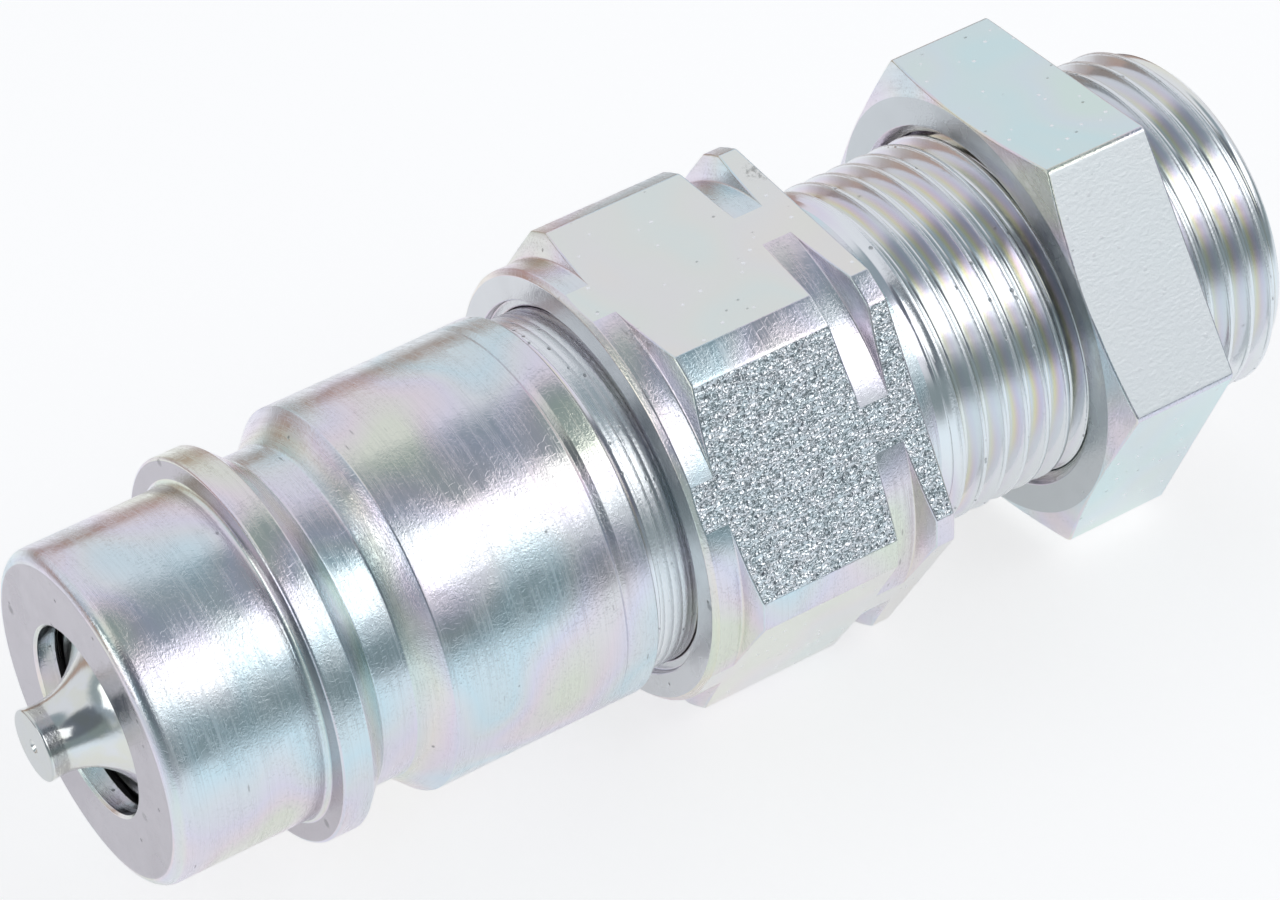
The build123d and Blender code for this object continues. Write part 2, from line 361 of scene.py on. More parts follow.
def bulkhead_thread(angle):
    """The groove fades in from the shank, and the rear chamfer cuts it off."""
    seam = BODY_FLAT - 30
    crest_at = CREST_STATION - (CREST_ANGLE - seam) / 360 * THREAD_PITCH
    line = []
    points = helix_points(angle - seam, THREAD_FRONT, THREAD_REAR, THREAD_PITCH, crest_at, BULKHEAD_FORM)
    for station, depth in points:
        fade = eased((station - THREAD_FRONT - 0.3) / 1.6)
        blank = SHANK_RADIUS + (THREAD_RADIUS - SHANK_RADIUS) * eased((station - THREAD_FRONT - 0.4) / 0.5)
        chamfer = BODY_REAR - REAR_CHAMFER + THREAD_RADIUS - station
        line.append((station, min(blank, THREAD_RADIUS - depth * fade, chamfer)))
    return line


def joint_thread(angle):
    """Fine tool rings of the joint, which start from the relief and run out inside the rear body."""
    points = helix_points(angle, JOINT_THREAD_FRONT, JOINT_THREAD_REAR, JOINT_PITCH, 0.0, JOINT_FORM)
    line = []
    for station, depth in points:
        fade = eased((JOINT_THREAD_REAR - station) / 0.8) * eased((station - JOINT_THREAD_FRONT) / 0.3)
        line.append((station, JOINT_THREAD_RADIUS - depth * fade))
    return line


# Half sections


def on_bevel(foot, length, radius):
    """Station at which the bevel from the ring up to the hexagon's corners reaches a radius."""
    return foot + length * (radius - RING_RADIUS) / (HEX_CORNER_RADIUS - RING_RADIUS)


def rear_body_line(angle):
    """Hexagon bar turned down to the ring, the collar and the threaded shank, and bored from both ends."""
    hexagon = APOTHEM / cos(radians(off_flat(angle, BODY_FLAT)))
    band = softer(HEX_CORNER_RADIUS, hexagon, 0.05)
    ring = softer(RING_RADIUS, hexagon, 0.008)
    outside = [
        (RING_FRONT, RECESS_RADIUS, 0.1),
        (RING_FRONT, RING_FACE_RADIUS, 0.12),
        (RING_FRONT + ring - RING_FACE_RADIUS, ring, 0.12),
        (on_bevel(HEX_FRONT - FRONT_BEVEL, FRONT_BEVEL, ring), ring, 0.15),
        (on_bevel(HEX_FRONT - FRONT_BEVEL, FRONT_BEVEL, band), band, SOFT),
        (on_bevel(HEX_REAR + REAR_BEVEL, -REAR_BEVEL, band), band, SOFT),
        (on_bevel(HEX_REAR + REAR_BEVEL, -REAR_BEVEL, ring), ring, 0.15),
        (on_bevel(SHOULDER_FRONT - FRONT_BEVEL, FRONT_BEVEL, ring), ring, 0.12),
        (on_bevel(SHOULDER_FRONT - FRONT_BEVEL, FRONT_BEVEL, band), band, SOFT),
        (SHOULDER_REAR, band, SOFT),
        (SHOULDER_REAR, SHANK_RADIUS, 0.25),
    ]
    inside = [
        (BODY_REAR, REAR_FACE_RADIUS, SOFT),
        (BODY_REAR, CONE_MOUTH_RADIUS, SOFT),
        (CONE_END, TUBE_BORE, 0.1),
        (TUBE_STOP, TUBE_BORE, 0.1),
        (TUBE_STOP, PASSAGE_RADIUS, 0.1),
        (JOINT_SHOULDER, PASSAGE_RADIUS, 0.1),
        (JOINT_SHOULDER, SEAL_POCKET_RADIUS, 0.1),
        (SEAL_POCKET_FRONT, SEAL_POCKET_RADIUS, 0.1),
        (SEAL_POCKET_FRONT, PILOT_BORE, 0.1),
        (JOINT_BORE_REAR, PILOT_BORE, 0.1),
        (JOINT_BORE_REAR, JOINT_BORE, 0.1),
        (RECESS_REAR, JOINT_BORE, 0.1),
        (RECESS_REAR, RECESS_RADIUS, 0.1),
    ]
    return section_line(outside + bulkhead_thread(angle) + inside)


def nose_body_line(angle):
    """Nose with its collar, ball groove and barrel, the joint thread, and the bores behind the mouth."""
    relief_radius = JOINT_THREAD_RADIUS - JOINT_RELIEF
    outside = [
        (MOUTH_EDGE, MOUTH_RADIUS, 0.05),
        (0, MOUTH_RADIUS + MOUTH_EDGE, 0.05),
        (0, NOSE_RADIUS, 0.85, 8),
        (COLLAR_FRONT, NOSE_RADIUS, 0.35, 6),
        (COLLAR_FRONT, COLLAR_RADIUS, 0.2),
        (COLLAR_REAR, COLLAR_RADIUS, 0.16),
        (GROOVE_FRONT, GROOVE_RADIUS, 0.3),
        (GROOVE_REAR, GROOVE_RADIUS, 0.3),
        (BARREL_FRONT, BARREL_RADIUS, 0.16),
        (MARK_FRONT, BARREL_RADIUS, 0.06),
        (MARK_FRONT + 0.2, BARREL_RADIUS - MARK_DEPTH, 0.06),
        (MARK_REAR, BARREL_RADIUS, 0.08),
        (BARREL_REAR, BARREL_RADIUS, 0.15),
        (BARREL_REAR, relief_radius, 0.15),
        (JOINT_THREAD_FRONT - 0.2, relief_radius),
    ]
    inside = [
        (PILOT_FRONT, JOINT_THREAD_RADIUS, 0.1),
        (PILOT_FRONT, PILOT_RADIUS, 0.1),
        (JOINT_SHOULDER, PILOT_RADIUS, 0.15),
        (JOINT_SHOULDER, REAR_BORE_RADIUS, 0.15),
        (GUIDE_REAR + CLIP_GROOVE_WIDTH, REAR_BORE_RADIUS, 0.05),
        (GUIDE_REAR + CLIP_GROOVE_WIDTH, CLIP_GROOVE_RADIUS, 0.05),
        (GUIDE_REAR, CLIP_GROOVE_RADIUS, 0.05),
        (GUIDE_REAR, REAR_BORE_RADIUS, 0.05),
        (GUIDE_SEAT, REAR_BORE_RADIUS, 0.05),
        (GUIDE_SEAT, CHAMBER_RADIUS, 0.05),
        (SEAT_REAR, CHAMBER_RADIUS, 0.2),
        (MOUTH_LENGTH, MOUTH_RADIUS, 0.1),
    ]
    return section_line(outside + joint_thread(angle) + inside)


def nut_radius(angle):
    """Outline of the nut: six flats with small rounded corners."""
    off = abs(off_flat(angle, NUT_FLAT))
    tangent = degrees(atan2(NUT_CORNER_CENTRE / 2, APOTHEM))
    if off <= tangent:
        return APOTHEM / cos(radians(off))
    turn = radians(30 - off)
    across = NUT_CORNER_CENTRE * sin(turn)
    return NUT_CORNER_CENTRE * cos(turn) + sqrt(NUT_CORNER_ROUNDING ** 2 - across ** 2)


def lock_nut_line(angle):
    """Nut with a chamfered front face, a plain rear face and a countersunk bore."""
    outer = nut_radius(angle)
    return section_line([
        (NUT_FRONT, NUT_BORE + NUT_FRONT_COUNTERSINK, 0.12),
        (NUT_FRONT, NUT_FACE_RADIUS, 0.2),
        (NUT_FRONT + (outer - NUT_FACE_RADIUS) * NUT_CHAMFER_SLOPE, outer, 0.15),
        (NUT_REAR, outer, SOFT),
        (NUT_REAR, NUT_BORE + NUT_REAR_COUNTERSINK, 0.12),
        (NUT_REAR - NUT_REAR_COUNTERSINK, NUT_BORE, 0.15),
        (NUT_FRONT + NUT_FRONT_COUNTERSINK, NUT_BORE, 0.15),
    ])


def valve_poppet_line(angle):
    """Dimpled probe with its flare, the grooved head, the spring's boss and the stem, the same all round."""
    tip = [
        (DIMPLE_DEPTH - PROBE_REACH, 0),
        (DIMPLE_DEPTH - PROBE_REACH - 0.05, 0.12),
        (-PROBE_REACH, DIMPLE_RADIUS, 0.08),
        (-PROBE_REACH, PROBE_RADIUS, 0.12),
        (WAIST_STATION, WAIST_RADIUS),
    ]
    flare = []
    for step in range(1, FLARE_STEPS + 1):
        turn = asin((FLARE_END - WAIST_STATION) / FLARE_RADIUS) * step / FLARE_STEPS
        radius = WAIST_RADIUS + FLARE_RADIUS * (1 - cos(turn))
        flare.append((WAIST_STATION + FLARE_RADIUS * sin(turn), radius))
    body = [
        (FLARE_END, LIP_RADIUS - (LIP_REAR - FLARE_END), 0.05),
        (LIP_REAR, LIP_RADIUS, 0.05),
        (LIP_REAR, SEAL_GROOVE_RADIUS, 0.05),
        (HEAD_FRONT, SEAL_GROOVE_RADIUS, 0.05),
        (HEAD_FRONT, HEAD_RADIUS, 0.15),
        (HEAD_REAR, HEAD_RADIUS, 0.25),
        (HEAD_REAR, BOSS_RADIUS, 0.15),
        (BOSS_REAR, BOSS_RADIUS, 0.4),
        (BOSS_REAR, STEM_RADIUS, 0.3),
        (STEM_REAR, STEM_RADIUS, 0.4),
        (STEM_REAR, 0),
    ]
    return section_line(tip + flare + body, closed=False)


def spring_centre(turns):
    """Station of the wire's centre after some turns, closed at both ends."""
    first = SPRING_FRONT + WIRE / 2
    last = SPRING_REAR - WIRE / 2
    open_pitch = (last - first - 2 * CLOSED_PITCH) / (SPRING_TURNS - 2)
    rear_turns = max(0.0, turns - (SPRING_TURNS - 1))
    open_turns = min(max(0.0, turns - 1), SPRING_TURNS - 2)
    return first + min(turns, 1) * CLOSED_PITCH + open_turns * open_pitch + rear_turns * CLOSED_PITCH


def coil_spring(name, materials):
    """Round wire wound into the valve spring."""
    count = round(SPRING_TURNS * STEPS_PER_TURN)
    verts, faces = [], []
    for step in range(count + 1):
        turns = step / STEPS_PER_TURN
        station = spring_centre(turns)
        for side in range(WIRE_SIDES):
            round_wire = 2 * pi * side / WIRE_SIDES
            verts.append(placed(
                station + WIRE / 2 * sin(round_wire),
                SPRING_RADIUS + WIRE / 2 * cos(round_wire),
                turns * 360,
            ))
        if step:
            here, last = step * WIRE_SIDES, (step - 1) * WIRE_SIDES
            for side in range(WIRE_SIDES):
                after = (side + 1) % WIRE_SIDES
                faces.append((last + side, here + side, here + after, last + after))
    faces.append(tuple(range(WIRE_SIDES)))
    faces.append(tuple(range(count * WIRE_SIDES, (count + 1) * WIRE_SIDES)))
    return finish_mesh(name, verts, faces, materials)


# Shader nodes


class Value:
    """One output of a shader node, so that shader maths reads as plain sums."""

    def __init__(self, finish, socket):
        self.finish, self.socket = finish, socket

    def maths(self, operation, *terms):
        return self.finish.node("Math", {"operation": operation}, dict(enumerate(terms)))

    def __add__(self, other):
        return self.maths("ADD", self, other)

    def __sub__(self, other):
        return self.maths("SUBTRACT", self, other)

    def __rsub__(self, other):
        return self.maths("SUBTRACT", other, self)

    def __mul__(self, other):
        return self.maths("MULTIPLY", self, other)

    def __truediv__(self, other):
        return self.maths("DIVIDE", self, other)

    def __abs__(self):
        return self.maths("ABSOLUTE", self)

    __radd__ = __add__
    __rmul__ = __mul__

    def lowest(self, other):
        return self.maths("MINIMUM", self, other)

    def between(self, low, high):
        """0 below low, 1 above high, eased in between; it falls instead where low is the larger."""
        settings = {"interpolation_type": "SMOOTHSTEP"}
        sockets = {0: self, 1: min(low, high), 2: max(low, high), 3: 0.0, 4: 1.0}
        rising = self.finish.node("MapRange", settings, sockets)
        return rising if low < high else 1 - rising


class Finish:
    """The node tree of a material or of the studio."""

    def __init__(self, tree):
        self.tree = tree
        tree.nodes.clear()

    def node(self, kind, settings=None, sockets=None, output=0):
        """Adds a node: its settings first, then the values or links of its sockets."""
        node = self.tree.nodes.new("ShaderNode" + kind)
        for name, setting in (settings or {}).items():
            if name == "stops":
                ramp = node.color_ramp
                while len(ramp.elements) < len(setting):
                    ramp.elements.new(0.5)
                for element, (position, colour) in zip(ramp.elements, setting):
                    element.position, element.color = position, (*colour, 1)
            else:
                setattr(node, name, setting)
        for name, value in (sockets or {}).items():
            if isinstance(value, Value):
                self.tree.links.new(value.socket, node.inputs[name])
            else:
                node.inputs[name].default_value = value
        return Value(self, node.outputs[output]) if node.outputs else None

    def vector(self, operation, *terms, output=0):
        return self.node("VectorMath", {"operation": operation}, dict(enumerate(terms)), output)

    def blend(self, share, first, second):
        """A colour between two colours."""
        first, second = ((*c, 1) if isinstance(c, tuple) else c for c in (first, second))
        return self.node("Mix", {"data_type": "RGBA"}, {0: share, 6: first, 7: second}, output=2)

    def ramp(self, place, *stops):
        """A colour picked along a row of (position, colour) stops."""
        return self.node("ValToRGB", {"stops": stops}, {0: place})

    def part(self, vector, axis):
        return self.node("SeparateXYZ", None, {0: vector}, output=axis)

    def place(self):
        """Millimetres from a point on the axis level with the nose face."""
        spot = self.node("TexCoord", output="Object")
        centre = (NOSE_FACE_X * MM, 0, AXIS_HEIGHT * MM)
        return self.vector("MULTIPLY", self.vector("SUBTRACT", spot, centre), (1 / MM,) * 3)

    def radius(self, place):
        """Millimetres from the axis."""
        return self.vector("LENGTH", self.vector("MULTIPLY", place, (0, 1, 1)), output="Value")

    def steepness(self):
        """How far the surface faces along the axis, from 0 on a cylinder to 1 on a flat end."""
        return abs(self.part(self.node("NewGeometry", output="Normal"), 0))

    def scaled(self, place, scale):
        """The place counted in features; scale is their number in a millimetre, one or for each direction."""
        return self.vector("MULTIPLY", place, scale if isinstance(scale, tuple) else (scale,) * 3)

    def noise(self, place, scale, detail=2.0, roughness=0.5, offset=0.0):
        """Noise from 0 to 1; the offset picks another part of the pattern."""
        moved = self.vector("ADD", self.scaled(place, scale), (offset,) * 3)
        sockets = {"Vector": moved, "Scale": 1.0, "Detail": detail, "Roughness": roughness}
        return self.node("TexNoise", None, sockets)

    def spots(self, place, scale, size, share):
        """1 in small scattered spots, in a share of the cells of a grid of that scale."""
        sockets = {"Vector": self.scaled(place, scale), "Scale": 1.0, "Randomness": 1.0}
        distance = self.node("TexVoronoi", None, sockets, output="Distance")
        colour = self.node("TexVoronoi", None, sockets, output="Color")
        chosen = self.part(colour, 0).between(1 - share, 1 - share + 0.02)
        return chosen * distance.between(size, size * 0.4)

    def domes(self, place, scale):
        """Close-packed round bumps, 1 at the top of each."""
        sockets = {"Vector": self.scaled(place, scale), "Scale": 1.0}
        distance = self.node("TexVoronoi", None, sockets, output="Distance")
        return 1 - distance * distance

    def surface(self, colour, roughness, height, metallic=1.0):
        """A surface shader whose bump has its height in millimetres."""
        bump = self.node("Bump", None, {"Strength": 1.0, "Distance": MM, "Height": height})
        sockets = {"Base Color": colour, "Roughness": roughness, "Metallic": metallic, "Normal": bump}
        shader = self.node("BsdfPrincipled", None, sockets)
        self.node("OutputMaterial", None, {"Surface": shader})


def new_finish(name):
    material = bpy.data.materials.new(name)
    material.use_nodes = True
    return material, Finish(material.node_tree)


# Colours of the plating

ZINC = (0.735, 0.765, 0.785)
COOL_ZINC = (0.71, 0.775, 0.785)
LIGHT_ZINC = (0.82, 0.85, 0.86)
WARM_ZINC = (0.82, 0.835, 0.76)
WHITE_ZINC = (0.95, 0.975, 0.97)
GREEN_ZINC = (0.68, 0.84, 0.82)
NOSE_FACE_ZINC = (0.51, 0.49, 0.52)
BODY_FACE_ZINC = (0.68, 0.70, 0.71)
NUT_FACE_ZINC = (0.58, 0.62, 0.635)
LAVENDER = (0.765, 0.725, 0.83)
PINK = (0.82, 0.725, 0.765)
CYAN = (0.63, 0.785, 0.835)
YELLOW_GREEN = (0.775, 0.80, 0.66)
FILM_YELLOW = (0.86, 0.82, 0.60)
FILM_PINK = (0.84, 0.70, 0.78)
FILM_BLUE = (0.66, 0.74, 0.87)
FILM_GREEN = (0.66, 0.82, 0.72)
STAIN = (0.16, 0.17, 0.17)
# Painted glint: near-white for the less metallic spots that stand in for light caught by tiny bumps
PAINTED_GLINT = (0.97, 0.98, 0.98)

# Handling marks: the middle of each in millimetres, and how far it reaches
SCUFFS = [
    ((48.4, 4.2, 13.5), 1.3),
    ((34.5, -3.3, 13.3), 0.8),
    ((34.9, -4.4, 12.9), 0.9),
]


# Finishes


def scuffs(finish, place):
    """1 in the broken strokes of the handling marks."""
    strokes = finish.noise(place, (4.5, 3.2, 3.2), detail=3.0, roughness=0.7, offset=4.0)
    total = 0
    for middle, reach in SCUFFS:
        away = finish.vector("LENGTH", finish.vector("SUBTRACT", place, middle), output="Value")
        broken = (strokes - away / reach * 0.16).between(0.36, 0.62)
        total = broken * away.between(reach, reach * 0.4) + total
    return total


def tinted_zinc(finish, place, offset):
    """Pale rainbow tints of thin plating, in broad soft patches."""
    broad = finish.noise(place, (0.13, 0.11, 0.11), detail=1.0, offset=offset)
    return finish.ramp(
        broad,
        (0.30, YELLOW_GREEN), (0.40, PINK), (0.47, LAVENDER), (0.54, ZINC), (0.62, CYAN), (0.72, COOL_ZINC),
    )


def steep_tints(finish, place, base):
    """Bands of yellow, pink and blue on cones and steps, where the plating is thinner."""
    steepness = finish.steepness()
    steep = steepness.between(0.25, 0.6) * steepness.between(0.98, 0.9)
    drift = finish.noise(place, (0.3, 0.12, 0.12), detail=1.0, offset=7.3)
    film = finish.radius(place) * 0.42 + drift * 0.9
    bands = finish.ramp(
        film.maths("FRACT", film),
        (0.0, FILM_YELLOW), (0.25, FILM_PINK), (0.5, FILM_BLUE), (0.75, FILM_GREEN), (1.0, FILM_YELLOW),
    )
    return finish.blend(steep * 0.38, base, bands)


def turning_marks(finish, place, offset):
    """Fine rings left by the tool, in runs of a few millimetres: 1 in the rough ones."""
    fine = finish.noise(place, (7.5, 0.16, 0.16), roughness=0.6, offset=offset)
    runs = finish.noise(place, (3.1, 0.09, 0.09), detail=3.0, roughness=0.7, offset=offset + 3)
    return (fine * 0.6 + runs * 0.4).between(0.38, 0.70)


def turned_plating(name, offset, face_colour):
    """Zinc plating over turned steel: fine rings, mottling, tints and scattered pits."""
    material, finish = new_finish(name)
    place = finish.place()
    marks = turning_marks(finish, place, offset)
    mottle = finish.noise(place, 5.8, detail=3.0, roughness=0.65, offset=offset + 5)
    patches = finish.noise(place, 0.45, offset=offset + 8).between(0.36, 0.56)
    curls = abs(finish.noise(place, 1.9, detail=1.0, offset=offset + 2) - 0.5).between(0.03, 0.0)
    grains = finish.noise(place, 6.0, roughness=0.65, offset=offset + 9).between(0.54, 0.66)
    grains = grains * (patches * 0.85 + 0.15)
    pits = finish.spots(place, (1.0, 0.8, 0.8), size=0.13, share=0.07)
    dashes = finish.spots(place, (2.4, 0.5, 0.5), size=0.20, share=0.04)
    worn = (pits + dashes * 0.7 + scuffs(finish, place) * 0.8).lowest(1.0)
    tint = finish.blend(0.8, ZINC, tinted_zinc(finish, place, offset))
    tint = finish.blend(marks * 0.05 + grains * 0.13, tint, STAIN)
    tint = steep_tints(finish, place, tint)
    tint = finish.blend(finish.steepness().between(0.97, 0.995), tint, face_colour)
    colour = finish.blend(worn * 0.6, tint, STAIN)
    roughness = 0.11 + marks * 0.20 + patches * 0.05 + worn * 0.25
    bumps = mottle * (patches * 0.75 + 0.25) * 0.015 + curls * 0.0025 + marks * 0.0026
    finish.surface(colour, roughness, bumps - worn * 0.016 - grains * 0.004)
    return material


def thread_plating(name, crest_radius, depth, offset):
    """Bright plating of a thread: smooth tinted flanks, and crests roughened by handling."""
    material, finish = new_finish(name)
    place = finish.place()
    drift = finish.noise(place, (0.12, 0.10, 0.10), detail=1.0, offset=offset)
    deep = (crest_radius - finish.radius(place)) / depth
    film = deep + (drift - 0.5) * 1.1
    tint = finish.ramp(
        film, (0.10, LIGHT_ZINC), (0.35, LAVENDER), (0.55, PINK), (0.75, FILM_YELLOW), (0.95, LIGHT_ZINC),
    )
    tint = finish.blend(drift.between(0.35, 0.6) * 0.55 + 0.25, LIGHT_ZINC, tint)
    crest = deep.between(0.14, 0.05)
    nicks = finish.noise(place, 5.0, roughness=0.6, offset=offset + 2)
    lines = finish.noise(place, (6.0, 0.15, 0.15), offset=offset + 4)
    pits = finish.spots(place, (1.1, 0.8, 0.8), size=0.14, share=0.10)
    dents = finish.spots(place, (1.9, 1.5, 1.5), size=0.26, share=0.22) * deep.between(0.16, 0.06)
    worn = (pits * 0.6 + dents * 0.5).lowest(1.0)
    colour = finish.blend(worn, tint, STAIN)
    roughness = 0.125 + lines * 0.06 + crest * 0.12 + worn * 0.25
    bumps = nicks * (crest * 0.016 + 0.0018) + lines * 0.0006
    finish.surface(colour, roughness, bumps - pits * 0.012 - dents * 0.03)
    return material


def drawn_plating(name, offset, grain_scale, grain_depth, colour, roughness, tints, metallic=1.0):
    """Zinc plating over drawn bar: a fine soft grain with tiny dark specks, and tiny near-white spots of
    painted glint.
    """
    material, finish = new_finish(name)
    place = finish.place()
    grain = finish.noise(place, grain_scale, detail=2.5, roughness=0.6, offset=offset)
    broad = finish.noise(place, 0.4, offset=offset + 4)
    pits = finish.spots(place, (1.0, 1.5, 1.5), size=0.15, share=0.16) + scuffs(finish, place) * 1.5
    # Painted glints: scattered near-white, less metallic spots stand in for light caught by tiny bumps.
    painted_glints = finish.spots(place, 1.2, size=0.19, share=0.45)
    tint = finish.blend(tints, colour, tinted_zinc(finish, place, offset))
    tint = finish.blend(pits * 0.35, tint, STAIN)
    tint = finish.blend(painted_glints, tint, PAINTED_GLINT)
    roughness = roughness + broad * 0.08 + pits * 0.2
    height = grain * grain_depth + broad * 0.004 - pits * 0.014 + painted_glints * 0.010
    finish.surface(tint, roughness, height, metallic=metallic - painted_glints * 0.45)
    return material


def rolled_plating(name):
    """Zinc plating over rough rolled bar: close-packed little domes that each catch the light, with painted
    shade in the low parts of the grain.
    """
    material, finish = new_finish(name)
    place = finish.place()
    shift = finish.noise(place, 1.3)
    large = finish.noise(place, 2.5, offset=5.0)
    pits = finish.spots(place, 1.2, size=0.2, share=0.12)
    tint = finish.blend(shift.between(0.35, 0.65), (0.66, 0.72, 0.74), (0.74, 0.76, 0.78))
    # Painted shade: the low parts of the large grain are darkened, together with the real pits.
    pits_and_shaded_hollows = (pits * 0.5 + large.between(0.50, 0.34) * 0.5).lowest(1.0)
    colour = finish.blend(pits_and_shaded_hollows, tint, (0.24, 0.27, 0.28))
    height = large * 0.240 + finish.domes(place, 4.0) * 0.080 + shift * 0.03 - pits * 0.02
    finish.surface(colour, 0.09 + shift * 0.08, height)
    return material


def polished_plating():
    """Bright smooth plating of the valve, with a duller tip."""
    material, finish = new_finish("polished_valve")
    place = finish.place()
    rings = finish.noise(place, (5.0, 0.2, 0.2))
    cloud = finish.noise(place, 0.8, offset=2.0)
    grain = finish.noise(place, 3.4, offset=4.0)
    pits = finish.spots(place, 1.6, size=0.12, share=0.08)
    tip = finish.part(place, 0).between(0.15 - PROBE_REACH, 0.05 - PROBE_REACH)
    colour = finish.blend(cloud.between(0.35, 0.65), (0.74, 0.755, 0.69), (0.75, 0.77, 0.77))
    colour = finish.blend(tip * 0.7, colour, (0.56, 0.59, 0.58))
    worn = finish.blend(pits * 0.6, colour, STAIN)
    height = rings * 0.0006 + cloud * 0.0030 + grain * 0.006 - pits * 0.006
    finish.surface(worn, 0.11 + cloud * 0.07 + pits * 0.2, height)
    return material


def pressed_steel():
    """Pressed and plated steel of the stem guide."""
    material, finish = new_finish("pressed_guide")
    place = finish.place()
    grain = finish.noise(place, 3.0, detail=3.0)
    pits = finish.spots(place, 1.5, size=0.15, share=0.12)
    colour = finish.blend(grain, (0.52, 0.52, 0.50), (0.68, 0.68, 0.66))
    worn = finish.blend(pits * 0.6, colour, STAIN)
    finish.surface(worn, 0.3 + grain * 0.15, grain * 0.004 - pits * 0.01)
    return material


def drawn_wire(name, dark, light):
    """Hard drawn wire or strip, with lengthwise drawing lines and a thin dark skin."""
    material, finish = new_finish(name)
    place = finish.place()
    skin = finish.noise(place, 1.4, detail=3.0)
    lines = finish.noise(place, (7.0, 0.6, 0.6), offset=1.0)
    colour = finish.blend((skin * 0.7 + lines * 0.3).between(0.3, 0.7), dark, light)
    finish.surface(colour, 0.26 + skin * 0.16, lines * 0.0015 + skin * 0.003)
    return material


def moulded_rubber():
    """Black moulded rubber with a faint bloom."""
    material, finish = new_finish("moulded_rubber")
    place = finish.place()
    bloom = finish.noise(place, 1.2, detail=4.0)
    grain = finish.noise(place, 9.0)
    colour = finish.blend(bloom.between(0.35, 0.75), (0.022, 0.022, 0.024), (0.06, 0.06, 0.063))
    finish.surface(colour, 0.45 + bloom * 0.2, grain * 0.003 + bloom * 0.004, metallic=0.0)
    return material


def hard_plastic():
    """Turned ring of hard off-white plastic."""
    material, finish = new_finish("hard_plastic")
    place = finish.place()
    cloud = finish.noise(place, 0.9, detail=3.0)
    rings = finish.noise(place, (7.0, 0.2, 0.2))
    colour = finish.blend(cloud, (0.74, 0.70, 0.60), (0.86, 0.84, 0.77))
    finish.surface(colour, 0.38 + cloud * 0.1, rings * 0.003 + cloud * 0.002, metallic=0.0)
    return material


# Pieces

NOSE_TURNED, NOSE_THREAD = range(2)
BODY_TURNED, BODY_DRAWN, BODY_ROLLED, BODY_THREAD = range(4)
NUT_TURNED, NUT_DRAWN, NUT_BRIGHT = range(3)


def face_spot(face):
    """Station, radius and angle of the middle of a face."""
    middle = face.calc_center_median()
    across, up = middle.y / MM, middle.z / MM - AXIS_HEIGHT
    return middle.x / MM - NOSE_FACE_X, hypot(across, up), degrees(atan2(up, across))


def on_flat(face, first_flat):
    """Angle of the flat that a face lies on, or None where it isn't on one."""
    _, radius, angle = face_spot(face)
    off = off_flat(angle, first_flat)
    if abs(radius * cos(radians(off)) - APOTHEM) > 0.006 or abs(face.normal.x) > 0.1:
        return None
    return round((angle - off) % 360, 1)


def nose_face(face):
    """Index of the nose body's material on a face."""
    station, radius, _ = face_spot(face)
    threaded = station > BARREL_REAR + 0.2 and radius > PILOT_RADIUS + 0.1
    return NOSE_THREAD if threaded else NOSE_TURNED


def body_face(face):
    """Index of the rear body's material on a face."""
    flat = on_flat(face, BODY_FLAT)
    if flat is not None:
        return BODY_ROLLED if flat in ROLLED_FLATS else BODY_DRAWN
    station, radius, _ = face_spot(face)
    threaded = THREAD_FRONT < station < BODY_REAR - 0.1 and radius > THREAD_RADIUS - 1
    return BODY_THREAD if threaded else BODY_TURNED


def nut_face(face):
    """Index of the lock nut's material on a face."""
    flat = on_flat(face, NUT_FLAT)
    if flat is None:
        return NUT_TURNED
    return NUT_BRIGHT if flat in NUT_BRIGHT_FLATS else NUT_DRAWN


def nose_body():
    """The turned nose body, with its own finish on the joint thread."""
    materials = [
        turned_plating("turned_plating_nose", 0.0, NOSE_FACE_ZINC),
        thread_plating("joint_thread", JOINT_THREAD_RADIUS, 0.3, 2.0),
    ]
    angles = even_angles(NOSE_STEP)
    return turned_piece("nose_body_detail", angles, nose_body_line, materials, choose=nose_face)


def rear_body():
    """The rear body, with the finish of each flat; edges are in degrees from the middle of a flat."""
    materials = [
        turned_plating("turned_plating_rear", 11.0, BODY_FACE_ZINC),
        drawn_plating("drawn_flats", 3.0, 2.4, 0.004, WARM_ZINC, roughness=0.2, tints=0.28),
        rolled_plating("rolled_flats"),
        thread_plating("bulkhead_thread", THREAD_RADIUS, 0.93, 6.0),
    ]
    edges = [(26.24, (-0.8, -0.4, -0.2, 0, 0.2, 0.4, 0.8)), (5.82, (-0.3, 0, 0.3))]
    angles = flat_angles(BODY_FLAT, edges)
    return turned_piece("rear_body_detail", angles, rear_body_line, materials, choose=body_face)


def lock_nut():
    """The lock nut, with three bright flats of rougher grain."""
    rough_grain = (3.4, 4.6, 4.6)
    materials = [
        turned_plating("turned_plating_nut", 23.0, NUT_FACE_ZINC),
        drawn_plating("nut_flats", 8.0, 2.0, 0.003, GREEN_ZINC, roughness=0.2, tints=0.3),
        drawn_plating(
            "nut_front_flats", 9.0, rough_grain, 0.024, WHITE_ZINC,
            roughness=0.42, tints=0.05, metallic=0.6,
        ),
    ]
    edges = [(29.07, (-0.5, -0.15, 0, 0.15, 0.3, 0.45, 0.6, 0.75))]
    angles = flat_angles(NUT_FLAT, edges)
    return turned_piece("lock_nut_detail", angles, lock_nut_line, materials, choose=nut_face)


def valve_poppet():
    """The probe, head and stem in one piece."""
    angles = even_angles(STEP)
    return turned_piece("valve_poppet_detail", angles, valve_poppet_line, [polished_plating()], closed=False)


def valve_spring():
    """The spring with its round wire."""
    materials = [drawn_wire("spring_wire", (0.36, 0.35, 0.33), (0.62, 0.61, 0.58))]
    return coil_spring("valve_spring_detail", materials)


